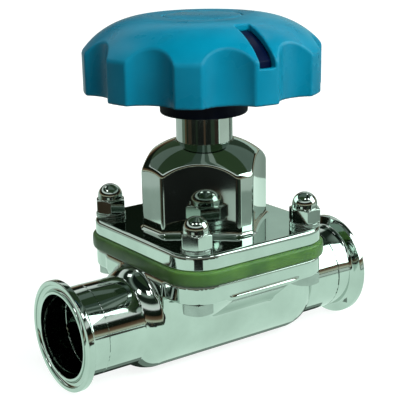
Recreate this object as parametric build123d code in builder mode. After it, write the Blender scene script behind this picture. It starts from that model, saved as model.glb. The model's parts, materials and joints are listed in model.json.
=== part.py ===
from build123d import *
import os
from math import acos, atan2, cos, degrees, radians, sin, sqrt, tan

# Weir type diaphragm valve for DN40 tube, with clamp ends and a rising handwheel.
# Millimetres. The origin is the centre of the inlet face, X runs along the pipe axis
# to the outlet and Z runs up the stem. The valve stands fully open.

# Pipe ends, for 41 x 1.5 mm tube and 50.5 mm clamp ferrules
face_to_face = 159.0
bore_radius = 19.0
tube_wall = 1.5
ferrule_rim = 2.85
ferrule_length = 12.7
ferrule_back_slope = 20.0
ferrule_root_fillet = 2.0
gasket_groove_inset = 2.75
gasket_groove_radius = 1.6
gasket_groove_lip = 3.5

# Body casting
block_length = 81.0
block_step = 3.6
shoulder_length = 7.5
shoulder_bulge = 0.7
seat_cover = 0.2
flange_x = 81.0
flange_y = 87.8
flange_corner = 15.3
flange_thickness = 8.4
flank_gap = 0.5
flank_foot_height = 0.0
flank_fillet = 7.0
flange_fillet = 1.0
bowl_margin = 5.5
weir_foot_length = 26.0
weir_crest_width = 7.0

# Flange fasteners, M8
bolt_edge_x = 10.0
bolt_edge_y = 8.9
thread_radius = 4.0
bolt_hole_gap = 0.5
bolt_head_height = 5.3
bolt_end_gap = 2.0
washer_outer_radius = 7.0
washer_hole_gap = 0.2
washer_thickness = 2.0
hex_flats = 13.0
hex_bevel = 0.55
hex_bevel_slope = 30.0
nut_hex_height = 6.5
nut_dome_radius = 5.75
nut_collar_height = 1.45
nut_thread_run = 2.0

# Diaphragm
stroke = 12.0
diaphragm_thickness = 7.0
diaphragm_proud = 1.7
diaphragm_dish = 7.0
diaphragm_button_radius = 10.0
diaphragm_pocket_margin = 1.0
diaphragm_pocket_step = 3.5
soft_gap = 0.3

# Stud moulded into the diaphragm
stud_radius = 4.0
stud_head_radius = 8.0
stud_head_height = 1.6
stud_skin = 1.1
stud_length = 12.6

# Compressor
foot_gap = 1.0
foot_flat_radius = 7.0
foot_rise = 6.4
foot_rim = 2.0
foot_height = 10.9
compressor_boss_radius = 11.0
socket_web = 2.7
socket_depth = 14.0
rib_width = 4.0
rib_height = 18.0
guide_width = 6.0
guide_step = 1.7
guide_height = 11.0
guide_gap = 0.15
guide_end_gap = 0.3
thrust_washer_thickness = 1.8
pin_radius = 1.5
pin_height = 6.6
pin_length = 16.0

# Bonnet
plate_thickness = 7.0
plate_fillet = 1.5
tower_radius = 31.0
tower_flat_depth = 5.15
tower_edge_fillet = 1.2
tower_base_fillet = 2.0
tower_height = 27.2
roof_middle_inset = 8.5
roof_middle_rise = 7.8
roof_rise = 11.7
roof_edge_fillet = 0.9
roof_wall = 17.2
tower_wall = 3.35

# Neck sleeve and spindle nut
neck_wall = 2.4
neck_collar_step = 2.6
neck_collar_thickness = 3.0
neck_lip = 13.0
neck_top_chamfer = 0.6
spindle_nut_wall = 3.5
spindle_nut_flange_step = 2.5
spindle_nut_flange_thickness = 2.0
stem_seal_drop = 8.5
skirt_seal_drop = 3.5
seal_section_radius = 1.2
skirt_seal_section_radius = 1.0

# Spindle
spindle_radius = 7.0
spindle_foot_step = 0.5
spindle_groove_depth = 1.5
stop_groove_depth = 1.0
stop_ring_step = 3.0
stop_ring_thickness = 2.0
drive_corner_step = 0.07

# Handwheel
wheel_radius = 53.9
wheel_rim_depth = 18.2
crown_drop = 14.1
crown_reach = 29.9
wheel_wall = 3.0
wheel_edge_fillet = 0.8
scallop_edge_fillet = 1.0
lobe_count = 10
slot_angle = -96.5
scallop_depth = 5.9
scallop_width = 22.0
slot_length = 20.9
slot_width = 7.5
slot_depth = 2.6
slot_lip_drop = 2.9
cap_radius = 17.5
cap_thickness = 2.9
cap_spigot_radius = 13.0
cap_spigot_wall = 1.5
cap_spigot_depth = 2.5
cap_spigot_gap = 0.4
hub_radius = 20.0
hub_gap = 0.4
hub_drop = 11.1
hub_layer = 3.0
hub_layer_margin = 9.9
hub_bottom_fillet = 1.2
insert_radius = 9.0
insert_length = 11.0
shoulder_gap = 1.0
wheel_nut_height = 6.5
wheel_nut_gap = 0.6
wheel_washer_gap = 2.4

# Clearances
slip_gap = 0.02
running_gap = 0.05
assembly_gap = 0.1
skirt_gap = 0.7

# Sizes, heights and places that follow from the ones above
stem_x = face_to_face / 2
tube_radius = bore_radius + tube_wall
gasket_groove_pitch_radius = bore_radius + gasket_groove_inset
ferrule_radius = gasket_groove_pitch_radius + gasket_groove_lip
block_radius = tube_radius + block_step
seat_height = block_radius + seat_cover
bolt_x = flange_x / 2 - bolt_edge_x
bolt_y = flange_y / 2 - bolt_edge_y
bolt_hole_radius = thread_radius + bolt_hole_gap
shank_radius = thread_radius - running_gap
washer_inner_radius = thread_radius + washer_hole_gap
hex_corner_radius = hex_flats / sqrt(3)
tower_flat_distance = tower_radius - tower_flat_depth
cavity_radius = tower_flat_distance - tower_wall
foot_radius = cavity_radius - foot_gap
guide_reach = cavity_radius + guide_step
roof_middle_radius = tower_radius - roof_middle_inset
bowl_radius = cavity_radius + bowl_margin
diaphragm_pocket_radius = bowl_radius - diaphragm_pocket_margin
spindle_foot_radius = spindle_radius - spindle_foot_step
spindle_groove_radius = spindle_radius - spindle_groove_depth
stop_groove_radius = spindle_radius - stop_groove_depth
stop_ring_radius = spindle_radius + stop_ring_step
spindle_nut_radius = spindle_radius + spindle_nut_wall
spindle_nut_flange_radius = spindle_nut_radius + spindle_nut_flange_step
neck_radius = spindle_nut_radius + neck_wall
neck_collar_radius = neck_radius + neck_collar_step
drive_square = sqrt(2) * (spindle_radius - drive_corner_step)
cap_recess_radius = cap_spigot_radius + cap_spigot_gap
wheel_washer_radius = cap_recess_radius - wheel_washer_gap
flange_bottom = seat_height - flange_thickness
plate_bottom = seat_height + diaphragm_thickness
plate_top = plate_bottom + plate_thickness
dish_bottom = seat_height - diaphragm_dish
weir_crest = dish_bottom - stroke
saddle_rise = seat_height - weir_crest
saddle_radius = (bowl_radius ** 2 + saddle_rise ** 2) / (2 * saddle_rise)
foot_bottom = seat_height + soft_gap
stud_bottom = dish_bottom + stud_skin + soft_gap
stud_top = stud_bottom + stud_length
socket_floor = stud_top + socket_web
compressor_top = socket_floor + socket_depth
spindle_foot = socket_floor + thrust_washer_thickness + running_gap
pin_level = socket_floor + pin_height
pin_offset = spindle_groove_radius + pin_radius + running_gap
nut_seat = plate_top + washer_thickness
nut_dome_height = nut_seat + nut_hex_height + nut_collar_height
nut_thread_top = nut_dome_height + nut_thread_run
roof_edge_height = plate_top + tower_height
roof_middle_height = roof_edge_height + roof_middle_rise
roof_neck_height = roof_edge_height + roof_rise
cavity_top = roof_neck_height - roof_wall
hub_bottom = roof_neck_height + stroke + hub_gap
wheel_bottom = hub_bottom + hub_drop
wheel_rim_height = wheel_bottom + wheel_rim_depth
wheel_crown_height = wheel_rim_height + crown_drop
cap_bottom = wheel_crown_height - cap_thickness
insert_top = cap_bottom - wheel_nut_gap - wheel_nut_height - washer_thickness
spindle_shoulder = insert_top - insert_length
wheel_nut_bottom = insert_top + washer_thickness
neck_top = spindle_shoulder - stroke - shoulder_gap
neck_collar_bottom = cavity_top - neck_collar_thickness
spindle_nut_bottom = neck_collar_bottom - spindle_nut_flange_thickness
spindle_nut_top = neck_top - neck_lip
stem_seal_height = neck_top - stem_seal_drop
skirt_seal_height = neck_top - skirt_seal_drop
skirt_radius = neck_radius + skirt_gap
crown_flat_radius = wheel_radius - crown_reach
hub_layer_radius = wheel_radius - hub_layer_margin
slot_inner_radius = wheel_radius - slot_length
slot_lip_height = wheel_rim_height - slot_lip_drop
dome_radius = (crown_reach ** 2 + crown_drop ** 2) / (2 * crown_drop)
scallop_half = scallop_width / 2
scallop_floor = wheel_radius - scallop_depth
scallop_chord = sqrt(wheel_radius ** 2 - scallop_half ** 2)
scallop_sagitta = scallop_chord - scallop_floor
scallop_radius = (scallop_sagitta ** 2 + scallop_half ** 2) / (2 * scallop_sagitta)
scallop_pitch_radius = scallop_floor + scallop_radius
scallop_phase = slot_angle + 180 / lobe_count
bar_end_radius = wheel_radius - wheel_wall - assembly_gap
stud_angle = degrees(atan2(bolt_y, bolt_x))
flat_half_angle = degrees(acos(tower_flat_distance / tower_radius))

stem_axis = Axis((stem_x, 0, 0), (0, 0, 1))
stem_section = Plane(origin=(stem_x, 0, 0), x_dir=(1, 0, 0), z_dir=(0, -1, 0))
middle_plane = Plane.YZ.offset(stem_x)
pin_plane = Plane(origin=(stem_x, 0, pin_level), x_dir=(1, 0, 0), z_dir=(0, -1, 0))


def level(height):
    """A horizontal plane centred on the stem."""
    return Plane(origin=(stem_x, 0, height), z_dir=(0, 0, 1))


def dome_height(radius, depth):
    """Height of the wheel's dome at a radius, this far under its surface."""
    reach = max(radius - crown_flat_radius, 0)
    return wheel_crown_height - dome_radius + sqrt((dome_radius - depth) ** 2 - reach ** 2)


def dome_arc(start_radius, end_radius, depth):
    """Arc of the wheel's dome between two radii, this far under its surface."""
    points = [
        (radius, dome_height(radius, depth))
        for radius in (start_radius, (start_radius + end_radius) / 2, end_radius)
    ]
    return ThreePointArc(*points)


def ring(inner, outer, bottom, top):
    """A rectangle in the stem's section, for a plain ring or disc."""
    with Locations(((inner + outer) / 2, (bottom + top) / 2)):
        Rectangle(outer - inner, top - bottom)


def bevelled_outline(bottom, top, bottom_bevel, top_bevel):
    """Half section of a disc round a hexagon's corners, with sloped rims at top and bottom."""
    slope = tan(radians(hex_bevel_slope))
    points = [(0, bottom), (hex_corner_radius - bottom_bevel / slope, bottom)]
    if bottom_bevel:
        points.append((hex_corner_radius, bottom + bottom_bevel))
    points.append((hex_corner_radius, top - top_bevel))
    if top_bevel:
        points.append((hex_corner_radius - top_bevel / slope, top))
    Polygon(*points, (0, top), align=None)


def save(piece, name):
    """Label a finished piece and write it."""
    piece.part.label = name
    export_step(piece.part, f"parts/{name}.step")


os.makedirs("parts", exist_ok=True)

# Clamp ferrules
for name, face_x, inward in (("inlet_ferrule", 0, 1), ("outlet_ferrule", face_to_face, -1)):
    slope_length = (ferrule_radius - tube_radius) * tan(radians(ferrule_back_slope))
    slope_foot = (ferrule_rim + slope_length, tube_radius)
    face_plane = Plane(origin=(face_x, 0, 0), x_dir=(inward, 0, 0), z_dir=(0, -inward, 0))
    with BuildPart() as ferrule:
        with BuildSketch(face_plane) as profile:
            with BuildLine():
                Polyline(
                    (0, bore_radius),
                    (0, ferrule_radius),
                    (ferrule_rim, ferrule_radius),
                    slope_foot,
                    (ferrule_length, tube_radius),
                    (ferrule_length, bore_radius),
                    close=True,
                )
            make_face()
            fillet(profile.vertices().sort_by_distance(slope_foot)[0], ferrule_root_fillet)
            with Locations((0, gasket_groove_pitch_radius)):
                Circle(gasket_groove_radius, mode=Mode.SUBTRACT)
        revolve(axis=Axis.X)
    save(ferrule, name)

# Weir that crosses the bore under the diaphragm, with a saddle shaped crest
with BuildPart() as weir:
    with BuildSketch(stem_section):
        with BuildLine():
            left = TangentArc(
                (-weir_foot_length, -bore_radius), (-weir_crest_width / 2, weir_crest), tangent=(1, 0)
            )
            right = TangentArc(
                (weir_foot_length, -bore_radius), (weir_crest_width / 2, weir_crest), tangent=(-1, 0)
            )
            Polyline(
                left @ 1,
                (-weir_crest_width / 2, seat_height),
                (weir_crest_width / 2, seat_height),
                right @ 1,
            )
            Polyline(
                left @ 0, (-weir_foot_length, -block_radius), (weir_foot_length, -block_radius), right @ 0
            )
        make_face()
    extrude(amount=bowl_radius, both=True)
    with BuildSketch(middle_plane):
        with Locations((0, weir_crest + saddle_radius)):
            Circle(saddle_radius)
    extrude(amount=weir_foot_length, both=True, mode=Mode.SUBTRACT)

# Space for the product: the bore, and the bowl under the diaphragm, less the weir
with BuildPart() as flow_path:
    with BuildSketch(Plane.YZ):
        Circle(bore_radius)
    extrude(amount=face_to_face)
    with BuildSketch(stem_section):
        with BuildLine():
            Line((0, seat_height), (bowl_radius, seat_height))
            ThreePointArc(
                (bowl_radius, seat_height),
                (bowl_radius * sqrt(0.5), seat_height - bowl_radius * sqrt(0.5)),
                (0, seat_height - bowl_radius),
            )
            Line((0, seat_height - bowl_radius), (0, seat_height))
        make_face()
    revolve(axis=stem_axis)
    add(weir.part, mode=Mode.SUBTRACT)

# Flange of the body, whose corners are the lugs
with BuildPart() as flange:
    with BuildSketch(level(flange_bottom)):
        RectangleRounded(flange_x, flange_y, flange_corner)
    extrude(amount=flange_thickness)
    fillet(flange.faces().sort_by(Axis.Z)[0].edges(), flange_fillet)

# Flanks that carry the flange's sides down to the block
flank_reach = flange_y / 2 - flange_fillet
with BuildPart() as flanks:
    with BuildSketch(middle_plane):
        Polygon(
            (-flank_reach, flange_bottom),
            (-block_radius, flank_foot_height),
            (block_radius, flank_foot_height),
            (flank_reach, flange_bottom),
            align=None,
        )
    extrude(amount=bolt_x - hex_corner_radius - flank_gap, both=True)
    flank_sides = flanks.faces().sort_by(Axis.X)
    flank_edges = flank_sides[0].edges() + flank_sides[-1].edges()
    fillet(flank_edges.filter_by(Axis.Y, reverse=True), flank_fillet)

# Body: tube stubs, rounded shoulders, U shaped block and flange with lugs
block_start = stem_x - block_length / 2
shoulder_middle = (
    block_start - shoulder_length / 2,
    (block_radius + tube_radius) / 2 + shoulder_bulge,
)
with BuildPart() as valve_body:
    with BuildSketch(Plane.XZ):
        with BuildLine():
            Line((ferrule_length, 0), (ferrule_length, tube_radius))
            Line((ferrule_length, tube_radius), (block_start - shoulder_length, tube_radius))
            ThreePointArc(
                (block_start - shoulder_length, tube_radius),
                shoulder_middle,
                (block_start, block_radius),
            )
            Polyline((block_start, block_radius), (stem_x, block_radius), (stem_x, 0), (ferrule_length, 0))
        make_face()
    revolve(axis=Axis.X)
    mirror(about=middle_plane)
    with BuildSketch(Plane.YZ.offset(block_start)):
        with Locations((0, flange_bottom / 2)):
            Rectangle(2 * block_radius, flange_bottom)
    extrude(amount=block_length)
    add(flange.part)
    add(flanks.part)
    with Locations(level(seat_height)):
        with GridLocations(2 * bolt_x, 2 * bolt_y, 2, 2):
            Hole(bolt_hole_radius, depth=flange_thickness)
    add(flow_path.part, mode=Mode.SUBTRACT)
save(valve_body, "valve_body")

# Diaphragm, dished a little into the bowl, with the stud's socket in its middle
with BuildPart() as diaphragm:
    with BuildSketch(level(seat_height)):
        RectangleRounded(
            flange_x + 2 * diaphragm_proud,
            flange_y + 2 * diaphragm_proud,
            flange_corner + diaphragm_proud,
        )
    extrude(amount=diaphragm_thickness)
    with Locations(level(plate_bottom)):
        with GridLocations(2 * bolt_x, 2 * bolt_y, 2, 2):
            Hole(bolt_hole_radius, depth=diaphragm_thickness)
    with BuildSketch(stem_section):
        Polygon(
            (0, dish_bottom),
            (diaphragm_button_radius, dish_bottom),
            (diaphragm_pocket_radius, seat_height),
            (0, seat_height),
            align=None,
        )
    revolve(axis=stem_axis)
    with BuildSketch(stem_section):
        Polygon(
            (0, seat_height),
            (diaphragm_button_radius, seat_height),
            (diaphragm_pocket_radius, seat_height + diaphragm_pocket_step),
            (diaphragm_pocket_radius, plate_bottom),
            (0, plate_bottom),
            align=None,
        )
        ring(
            0,
            stud_head_radius + soft_gap,
            dish_bottom + stud_skin,
            dish_bottom + stud_skin + stud_head_height + 2 * soft_gap,
        )
        ring(0, stud_radius + soft_gap, dish_bottom + stud_skin, seat_height)
    revolve(axis=stem_axis, mode=Mode.SUBTRACT)
save(diaphragm, "diaphragm")

# Stud in the diaphragm
with BuildPart() as diaphragm_stud:
    with BuildSketch(stem_section):
        ring(0, stud_head_radius, stud_bottom, stud_bottom + stud_head_height)
        ring(0, stud_radius, stud_bottom, stud_top)
    revolve(axis=stem_axis)
save(diaphragm_stud, "diaphragm_stud")

# Compressor: convex foot, boss with the spindle's socket, ribs and the guide bar
foot_top = foot_bottom + foot_height
guide_bottom = compressor_top - guide_height
with BuildPart() as compressor:
    with BuildSketch(stem_section):
        with BuildLine():
            Line((0, foot_bottom), (foot_flat_radius, foot_bottom))
            TangentArc(
                (foot_flat_radius, foot_bottom), (foot_radius, foot_bottom + foot_rise), tangent=(1, 0)
            )
            Polyline(
                (foot_radius, foot_bottom + foot_rise),
                (foot_radius, foot_bottom + foot_rise + foot_rim),
                (compressor_boss_radius, foot_top),
                (compressor_boss_radius, compressor_top),
                (0, compressor_top),
                (0, foot_bottom),
            )
        make_face()
    revolve(axis=stem_axis)
    with BuildSketch(level(foot_bottom + foot_rise)):
        Rectangle(rib_width, 2 * foot_radius - rib_width)
    extrude(amount=rib_height - foot_rise)
    with BuildSketch(level(guide_bottom)):
        Rectangle(2 * guide_reach, guide_width)
    extrude(amount=guide_height)
    with BuildSketch(stem_section):
        ring(0, spindle_foot_radius + assembly_gap, socket_floor, compressor_top)
        ring(0, stud_radius + running_gap, foot_bottom, stud_top + assembly_gap)
    revolve(axis=stem_axis, mode=Mode.SUBTRACT)
    with BuildSketch(pin_plane):
        with GridLocations(2 * pin_offset, 0, 2, 1):
            Circle(pin_radius + slip_gap)
    extrude(amount=compressor_boss_radius, both=True, mode=Mode.SUBTRACT)
save(compressor, "compressor")

# Two dowel pins across the compressor's boss
with BuildPart() as compressor_pins:
    with BuildSketch(pin_plane):
        with GridLocations(2 * pin_offset, 0, 2, 1):
            Circle(pin_radius)
    extrude(amount=pin_length / 2, both=True)
save(compressor_pins, "compressor_pins")

# Thrust washer under the spindle
with BuildPart() as thrust_washer:
    with BuildSketch(stem_section):
        ring(0, spindle_foot_radius, socket_floor, socket_floor + thrust_washer_thickness)
    revolve(axis=stem_axis)
save(thrust_washer, "thrust_washer")

# Tower of the bonnet: eight sides under a domed roof, with the wide sides facing the studs
corner_angles = [
    turn + side * flat_half_angle
    for turn in (stud_angle, 180 - stud_angle, 180 + stud_angle, 360 - stud_angle)
    for side in (-1, 1)
]
with BuildPart() as tower:
    with BuildSketch(level(plate_top)):
        with BuildLine():
            Polyline(
                *[(tower_radius * cos(radians(a)), tower_radius * sin(radians(a))) for a in corner_angles],
                close=True,
            )
        make_face()
    extrude(amount=roof_neck_height - plate_top)
    fillet(tower.edges().filter_by(Axis.Z), tower_edge_fillet)
    with BuildSketch(stem_section):
        with BuildLine():
            Polyline(
                (neck_radius, roof_neck_height),
                (0, roof_neck_height),
                (0, plate_top),
                (tower_radius, plate_top),
                (tower_radius, roof_edge_height),
            )
            ThreePointArc(
                (tower_radius, roof_edge_height),
                (roof_middle_radius, roof_middle_height),
                (neck_radius, roof_neck_height),
            )
        make_face()
    revolve(axis=stem_axis, mode=Mode.INTERSECT)
    roof = tower.faces().filter_by(GeomType.PLANE, reverse=True).sort_by(Axis.Z)[-1]
    roof_edges = roof.edges().filter_by(lambda edge: edge.center().Z < roof_middle_height)
    fillet(roof_edges, roof_edge_fillet)

# Bonnet: plate and tower, with the compressor's cavity, its guide grooves and the neck's bore
with BuildPart() as bonnet:
    with BuildSketch(level(plate_bottom)):
        RectangleRounded(flange_x, flange_y, flange_corner)
    extrude(amount=plate_thickness)
    fillet(bonnet.faces().sort_by(Axis.Z)[-1].edges(), plate_fillet)
    add(tower.part)
    tower_foot = (
        bonnet.edges()
        .filter_by_position(Axis.Z, plate_top, plate_top)
        .filter_by(lambda edge: (edge.center() - Vector(stem_x, 0, plate_top)).length < tower_radius)
    )
    fillet(tower_foot, tower_base_fillet)
    with Locations(level(plate_top)):
        with GridLocations(2 * bolt_x, 2 * bolt_y, 2, 2):
            Hole(bolt_hole_radius, depth=plate_thickness)
    with BuildSketch(level(plate_bottom)):
        Circle(cavity_radius)
    extrude(amount=cavity_top - plate_bottom, mode=Mode.SUBTRACT)
    with BuildSketch(level(plate_bottom)):
        Rectangle(2 * (guide_reach + guide_end_gap), guide_width + 2 * guide_gap)
    extrude(amount=compressor_top + guide_end_gap - plate_bottom, mode=Mode.SUBTRACT)
    with BuildSketch(level(cavity_top)):
        Circle(neck_radius + slip_gap)
    extrude(amount=roof_neck_height - cavity_top, mode=Mode.SUBTRACT)
save(bonnet, "bonnet")

# Neck sleeve, with a collar under the roof, a lip over the nut and two seal grooves
with BuildPart() as neck_sleeve:
    with BuildSketch(stem_section) as neck_profile:
        ring(spindle_nut_radius + slip_gap, neck_radius, neck_collar_bottom, neck_top)
        ring(spindle_nut_radius + slip_gap, neck_collar_radius, neck_collar_bottom, cavity_top)
        ring(spindle_radius + assembly_gap, neck_radius, spindle_nut_top, neck_top)
        chamfer(neck_profile.vertices().sort_by_distance((neck_radius, neck_top))[0], neck_top_chamfer)
        stem_seal_reach = spindle_radius + 2 * (seal_section_radius + assembly_gap)
        with Locations((stem_seal_reach / 2, stem_seal_height)):
            Rectangle(stem_seal_reach, 2 * (seal_section_radius + assembly_gap), mode=Mode.SUBTRACT)
        skirt_groove = neck_radius - 2 * skirt_seal_section_radius + soft_gap
        with Locations(((skirt_groove + neck_collar_radius) / 2, skirt_seal_height)):
            Rectangle(
                neck_collar_radius - skirt_groove,
                2 * (skirt_seal_section_radius + assembly_gap),
                mode=Mode.SUBTRACT,
            )
    revolve(axis=stem_axis)
save(neck_sleeve, "neck_sleeve")

# Spindle nut
with BuildPart() as spindle_nut:
    with BuildSketch(stem_section):
        ring(spindle_radius + running_gap, spindle_nut_radius, spindle_nut_bottom, spindle_nut_top)
        ring(
            spindle_radius + running_gap, spindle_nut_flange_radius, spindle_nut_bottom, neck_collar_bottom
        )
    revolve(axis=stem_axis)
save(spindle_nut, "spindle_nut")

# Seals: one inside the neck around the spindle, one outside it under the skirt
with BuildPart() as stem_o_ring:
    with BuildSketch(stem_section):
        with Locations((spindle_radius + assembly_gap + seal_section_radius, stem_seal_height)):
            Circle(seal_section_radius)
    revolve(axis=stem_axis)
save(stem_o_ring, "stem_o_ring")

with BuildPart() as skirt_o_ring:
    with BuildSketch(stem_section):
        with Locations((skirt_groove + assembly_gap + skirt_seal_section_radius, skirt_seal_height)):
            Circle(skirt_seal_section_radius)
    revolve(axis=stem_axis)
save(skirt_o_ring, "skirt_o_ring")

# Spindle: grooved foot, stop groove, screw, shoulder, drive square and screwed end
groove_half = pin_radius + assembly_gap
stop_ring_top = spindle_nut_bottom - assembly_gap
stop_ring_bottom = stop_ring_top - stop_ring_thickness
with BuildPart() as spindle:
    with BuildSketch(stem_section):
        ring(0, spindle_foot_radius, spindle_foot, compressor_top)
        ring(0, spindle_radius, compressor_top + assembly_gap, spindle_shoulder)
        ring(0, spindle_foot_radius, compressor_top, compressor_top + assembly_gap)
        ring(0, shank_radius, spindle_shoulder, wheel_nut_bottom + wheel_nut_height - assembly_gap)
        with Locations(((spindle_groove_radius + spindle_radius) / 2, pin_level)):
            Rectangle(spindle_radius - spindle_groove_radius, 2 * groove_half, mode=Mode.SUBTRACT)
        with Locations(((stop_groove_radius + spindle_radius) / 2, (stop_ring_bottom + stop_ring_top) / 2)):
            Rectangle(
                spindle_radius - stop_groove_radius, stop_ring_thickness + running_gap, mode=Mode.SUBTRACT
            )
    revolve(axis=stem_axis)
    with BuildSketch(level(spindle_shoulder)):
        Rectangle(drive_square, drive_square)
    extrude(amount=insert_length - assembly_gap)
save(spindle, "spindle")

# Ring that stops the spindle at the end of the opening stroke
with BuildPart() as stop_ring:
    with BuildSketch(stem_section):
        ring(stop_groove_radius + slip_gap, stop_ring_radius, stop_ring_bottom, stop_ring_top)
    revolve(axis=stem_axis)
save(stop_ring, "stop_ring")

# Index bar of the hub, whose top is the dark floor of the wheel's slot
with BuildPart() as index_bar:
    with BuildSketch(stem_section):
        with BuildLine():
            top = dome_arc(crown_flat_radius, bar_end_radius, slot_depth)
            underside = dome_arc(crown_flat_radius, bar_end_radius, wheel_wall + hub_layer)
            Line(top @ 0, underside @ 0)
            Line(top @ 1, underside @ 1)
        make_face()
    revolve(axis=stem_axis)
    with BuildSketch(level(wheel_bottom).rotated((0, 0, slot_angle))):
        with Locations((slot_inner_radius + assembly_gap, 0)):
            Rectangle(wheel_radius, slot_width - 2 * assembly_gap, align=(Align.MIN, Align.CENTER))
    extrude(amount=wheel_crown_height - wheel_bottom, mode=Mode.INTERSECT)

# Hub of the wheel: skirt around the neck, core with the nut's recess, layer under the dome
layer_top = wheel_wall + running_gap
with BuildPart() as wheel_hub:
    with BuildSketch(stem_section) as hub_profile:
        with BuildLine():
            crown = dome_arc(crown_flat_radius, hub_layer_radius, layer_top)
            underside = dome_arc(crown_flat_radius, hub_layer_radius, wheel_wall + hub_layer)
            Line(crown @ 1, underside @ 1)
            Polyline(
                underside @ 0,
                (hub_radius, dome_height(hub_radius, wheel_wall + hub_layer)),
                (hub_radius, hub_bottom),
                (skirt_radius, hub_bottom),
                (skirt_radius, spindle_shoulder),
                (insert_radius + slip_gap, spindle_shoulder),
                (insert_radius + slip_gap, insert_top),
                (cap_recess_radius, insert_top),
                (cap_recess_radius, dome_height(0, layer_top)),
                crown @ 0,
            )
        make_face()
        fillet(hub_profile.vertices().sort_by_distance((hub_radius, hub_bottom))[0], hub_bottom_fillet)
    revolve(axis=stem_axis)
    add(index_bar.part)
save(wheel_hub, "wheel_hub")

# Metal insert in the hub, with the square hole that drives the spindle
with BuildPart() as hub_insert:
    with BuildSketch(level(spindle_shoulder)):
        Circle(insert_radius)
        Rectangle(drive_square + 2 * assembly_gap, drive_square + 2 * assembly_gap, mode=Mode.SUBTRACT)
    extrude(amount=insert_length)
save(hub_insert, "hub_insert")

# Hollow of the handwheel, which keeps one wall behind the dome, the rim and each scallop
with BuildPart() as wheel_hollow:
    with BuildSketch(stem_section):
        with BuildLine():
            inside = dome_arc(crown_flat_radius, wheel_radius - wheel_wall, wheel_wall)
            Polyline(
                inside @ 1,
                (wheel_radius - wheel_wall, wheel_bottom),
                (0, wheel_bottom),
                (0, dome_height(0, wheel_wall)),
                inside @ 0,
            )
        make_face()
    revolve(axis=stem_axis)
    with BuildSketch(level(wheel_bottom)):
        with PolarLocations(scallop_pitch_radius, lobe_count, start_angle=scallop_phase):
            Circle(scallop_radius + wheel_wall)
    extrude(amount=wheel_crown_height - wheel_bottom, mode=Mode.SUBTRACT)

# Handwheel: domed shell with ten lobes, finger scallops, the slot and the cap's opening
with BuildPart() as handwheel:
    with BuildSketch(stem_section) as wheel_profile:
        with BuildLine():
            outside = dome_arc(crown_flat_radius, wheel_radius, 0)
            Polyline(
                outside @ 1,
                (wheel_radius, wheel_bottom),
                (0, wheel_bottom),
                (0, wheel_crown_height),
                outside @ 0,
            )
        make_face()
    revolve(axis=stem_axis)
    with BuildSketch(level(wheel_bottom)):
        with PolarLocations(scallop_pitch_radius, lobe_count, start_angle=scallop_phase):
            Circle(scallop_radius)
    extrude(amount=wheel_crown_height - wheel_bottom, mode=Mode.SUBTRACT)
    fillet(handwheel.edges().filter_by(Axis.Z), scallop_edge_fillet)
    dome_face = handwheel.faces().filter_by(GeomType.REVOLUTION)[0]
    fillet(dome_face.outer_wire().edges(), wheel_edge_fillet)
    add(wheel_hollow.part, mode=Mode.SUBTRACT)
    with BuildSketch(level(cap_bottom - wheel_wall)):
        Circle(cap_radius + assembly_gap)
    extrude(amount=cap_thickness + wheel_wall, mode=Mode.SUBTRACT)
    with BuildSketch(level(slot_lip_height).rotated((0, 0, slot_angle))):
        with Locations((slot_inner_radius, 0)):
            Rectangle(wheel_radius, slot_width, align=(Align.MIN, Align.CENTER))
    extrude(amount=wheel_crown_height - slot_lip_height, mode=Mode.SUBTRACT)
save(handwheel, "handwheel")

# Cap in the crown, with a spigot that clips into the hub's recess
with BuildPart() as centre_cap:
    with BuildSketch(stem_section):
        ring(0, cap_radius, cap_bottom, wheel_crown_height)
        spigot_inner = cap_spigot_radius - cap_spigot_wall
        ring(spigot_inner, cap_spigot_radius, cap_bottom - cap_spigot_depth, cap_bottom)
    revolve(axis=stem_axis)
    fillet(centre_cap.faces().sort_by(Axis.Z)[-1].edges(), wheel_edge_fillet)
save(centre_cap, "centre_cap")

# Washer and nut that hold the wheel on the spindle
with BuildPart() as wheel_washer:
    with BuildSketch(stem_section):
        ring(washer_inner_radius, wheel_washer_radius, insert_top, wheel_nut_bottom)
    revolve(axis=stem_axis)
save(wheel_washer, "wheel_washer")

with BuildPart() as wheel_nut:
    with BuildSketch(level(wheel_nut_bottom)):
        RegularPolygon(hex_flats / 2, 6, major_radius=False)
    extrude(amount=wheel_nut_height)
    with BuildSketch(stem_section):
        bevelled_outline(wheel_nut_bottom, wheel_nut_bottom + wheel_nut_height, hex_bevel, hex_bevel)
    revolve(axis=stem_axis, mode=Mode.INTERSECT)
    with BuildSketch(level(wheel_nut_bottom)):
        Circle(thread_radius)
    extrude(amount=wheel_nut_height, mode=Mode.SUBTRACT)
save(wheel_nut, "wheel_nut")

# One flange bolt, head down, and its four places under the body's lugs
with BuildPart() as flange_bolt:
    with BuildSketch(level(flange_bottom - bolt_head_height)):
        RegularPolygon(hex_flats / 2, 6, major_radius=False)
    extrude(amount=bolt_head_height)
    with BuildSketch(stem_section):
        bevelled_outline(flange_bottom - bolt_head_height, flange_bottom, hex_bevel, 0)
    revolve(axis=stem_axis, mode=Mode.INTERSECT)
    with BuildSketch(level(flange_bottom)):
        Circle(shank_radius)
    extrude(amount=nut_thread_top - bolt_end_gap - flange_bottom)
with BuildPart() as flange_bolts:
    with GridLocations(2 * bolt_x, 2 * bolt_y, 2, 2):
        add(flange_bolt.part)
save(flange_bolts, "flange_bolts")

# Washers on the bonnet plate
with BuildPart() as flange_washers:
    with BuildSketch(level(plate_top)):
        with GridLocations(2 * bolt_x, 2 * bolt_y, 2, 2):
            Circle(washer_outer_radius)
            Circle(washer_inner_radius, mode=Mode.SUBTRACT)
    extrude(amount=washer_thickness)
save(flange_washers, "flange_washers")

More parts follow.
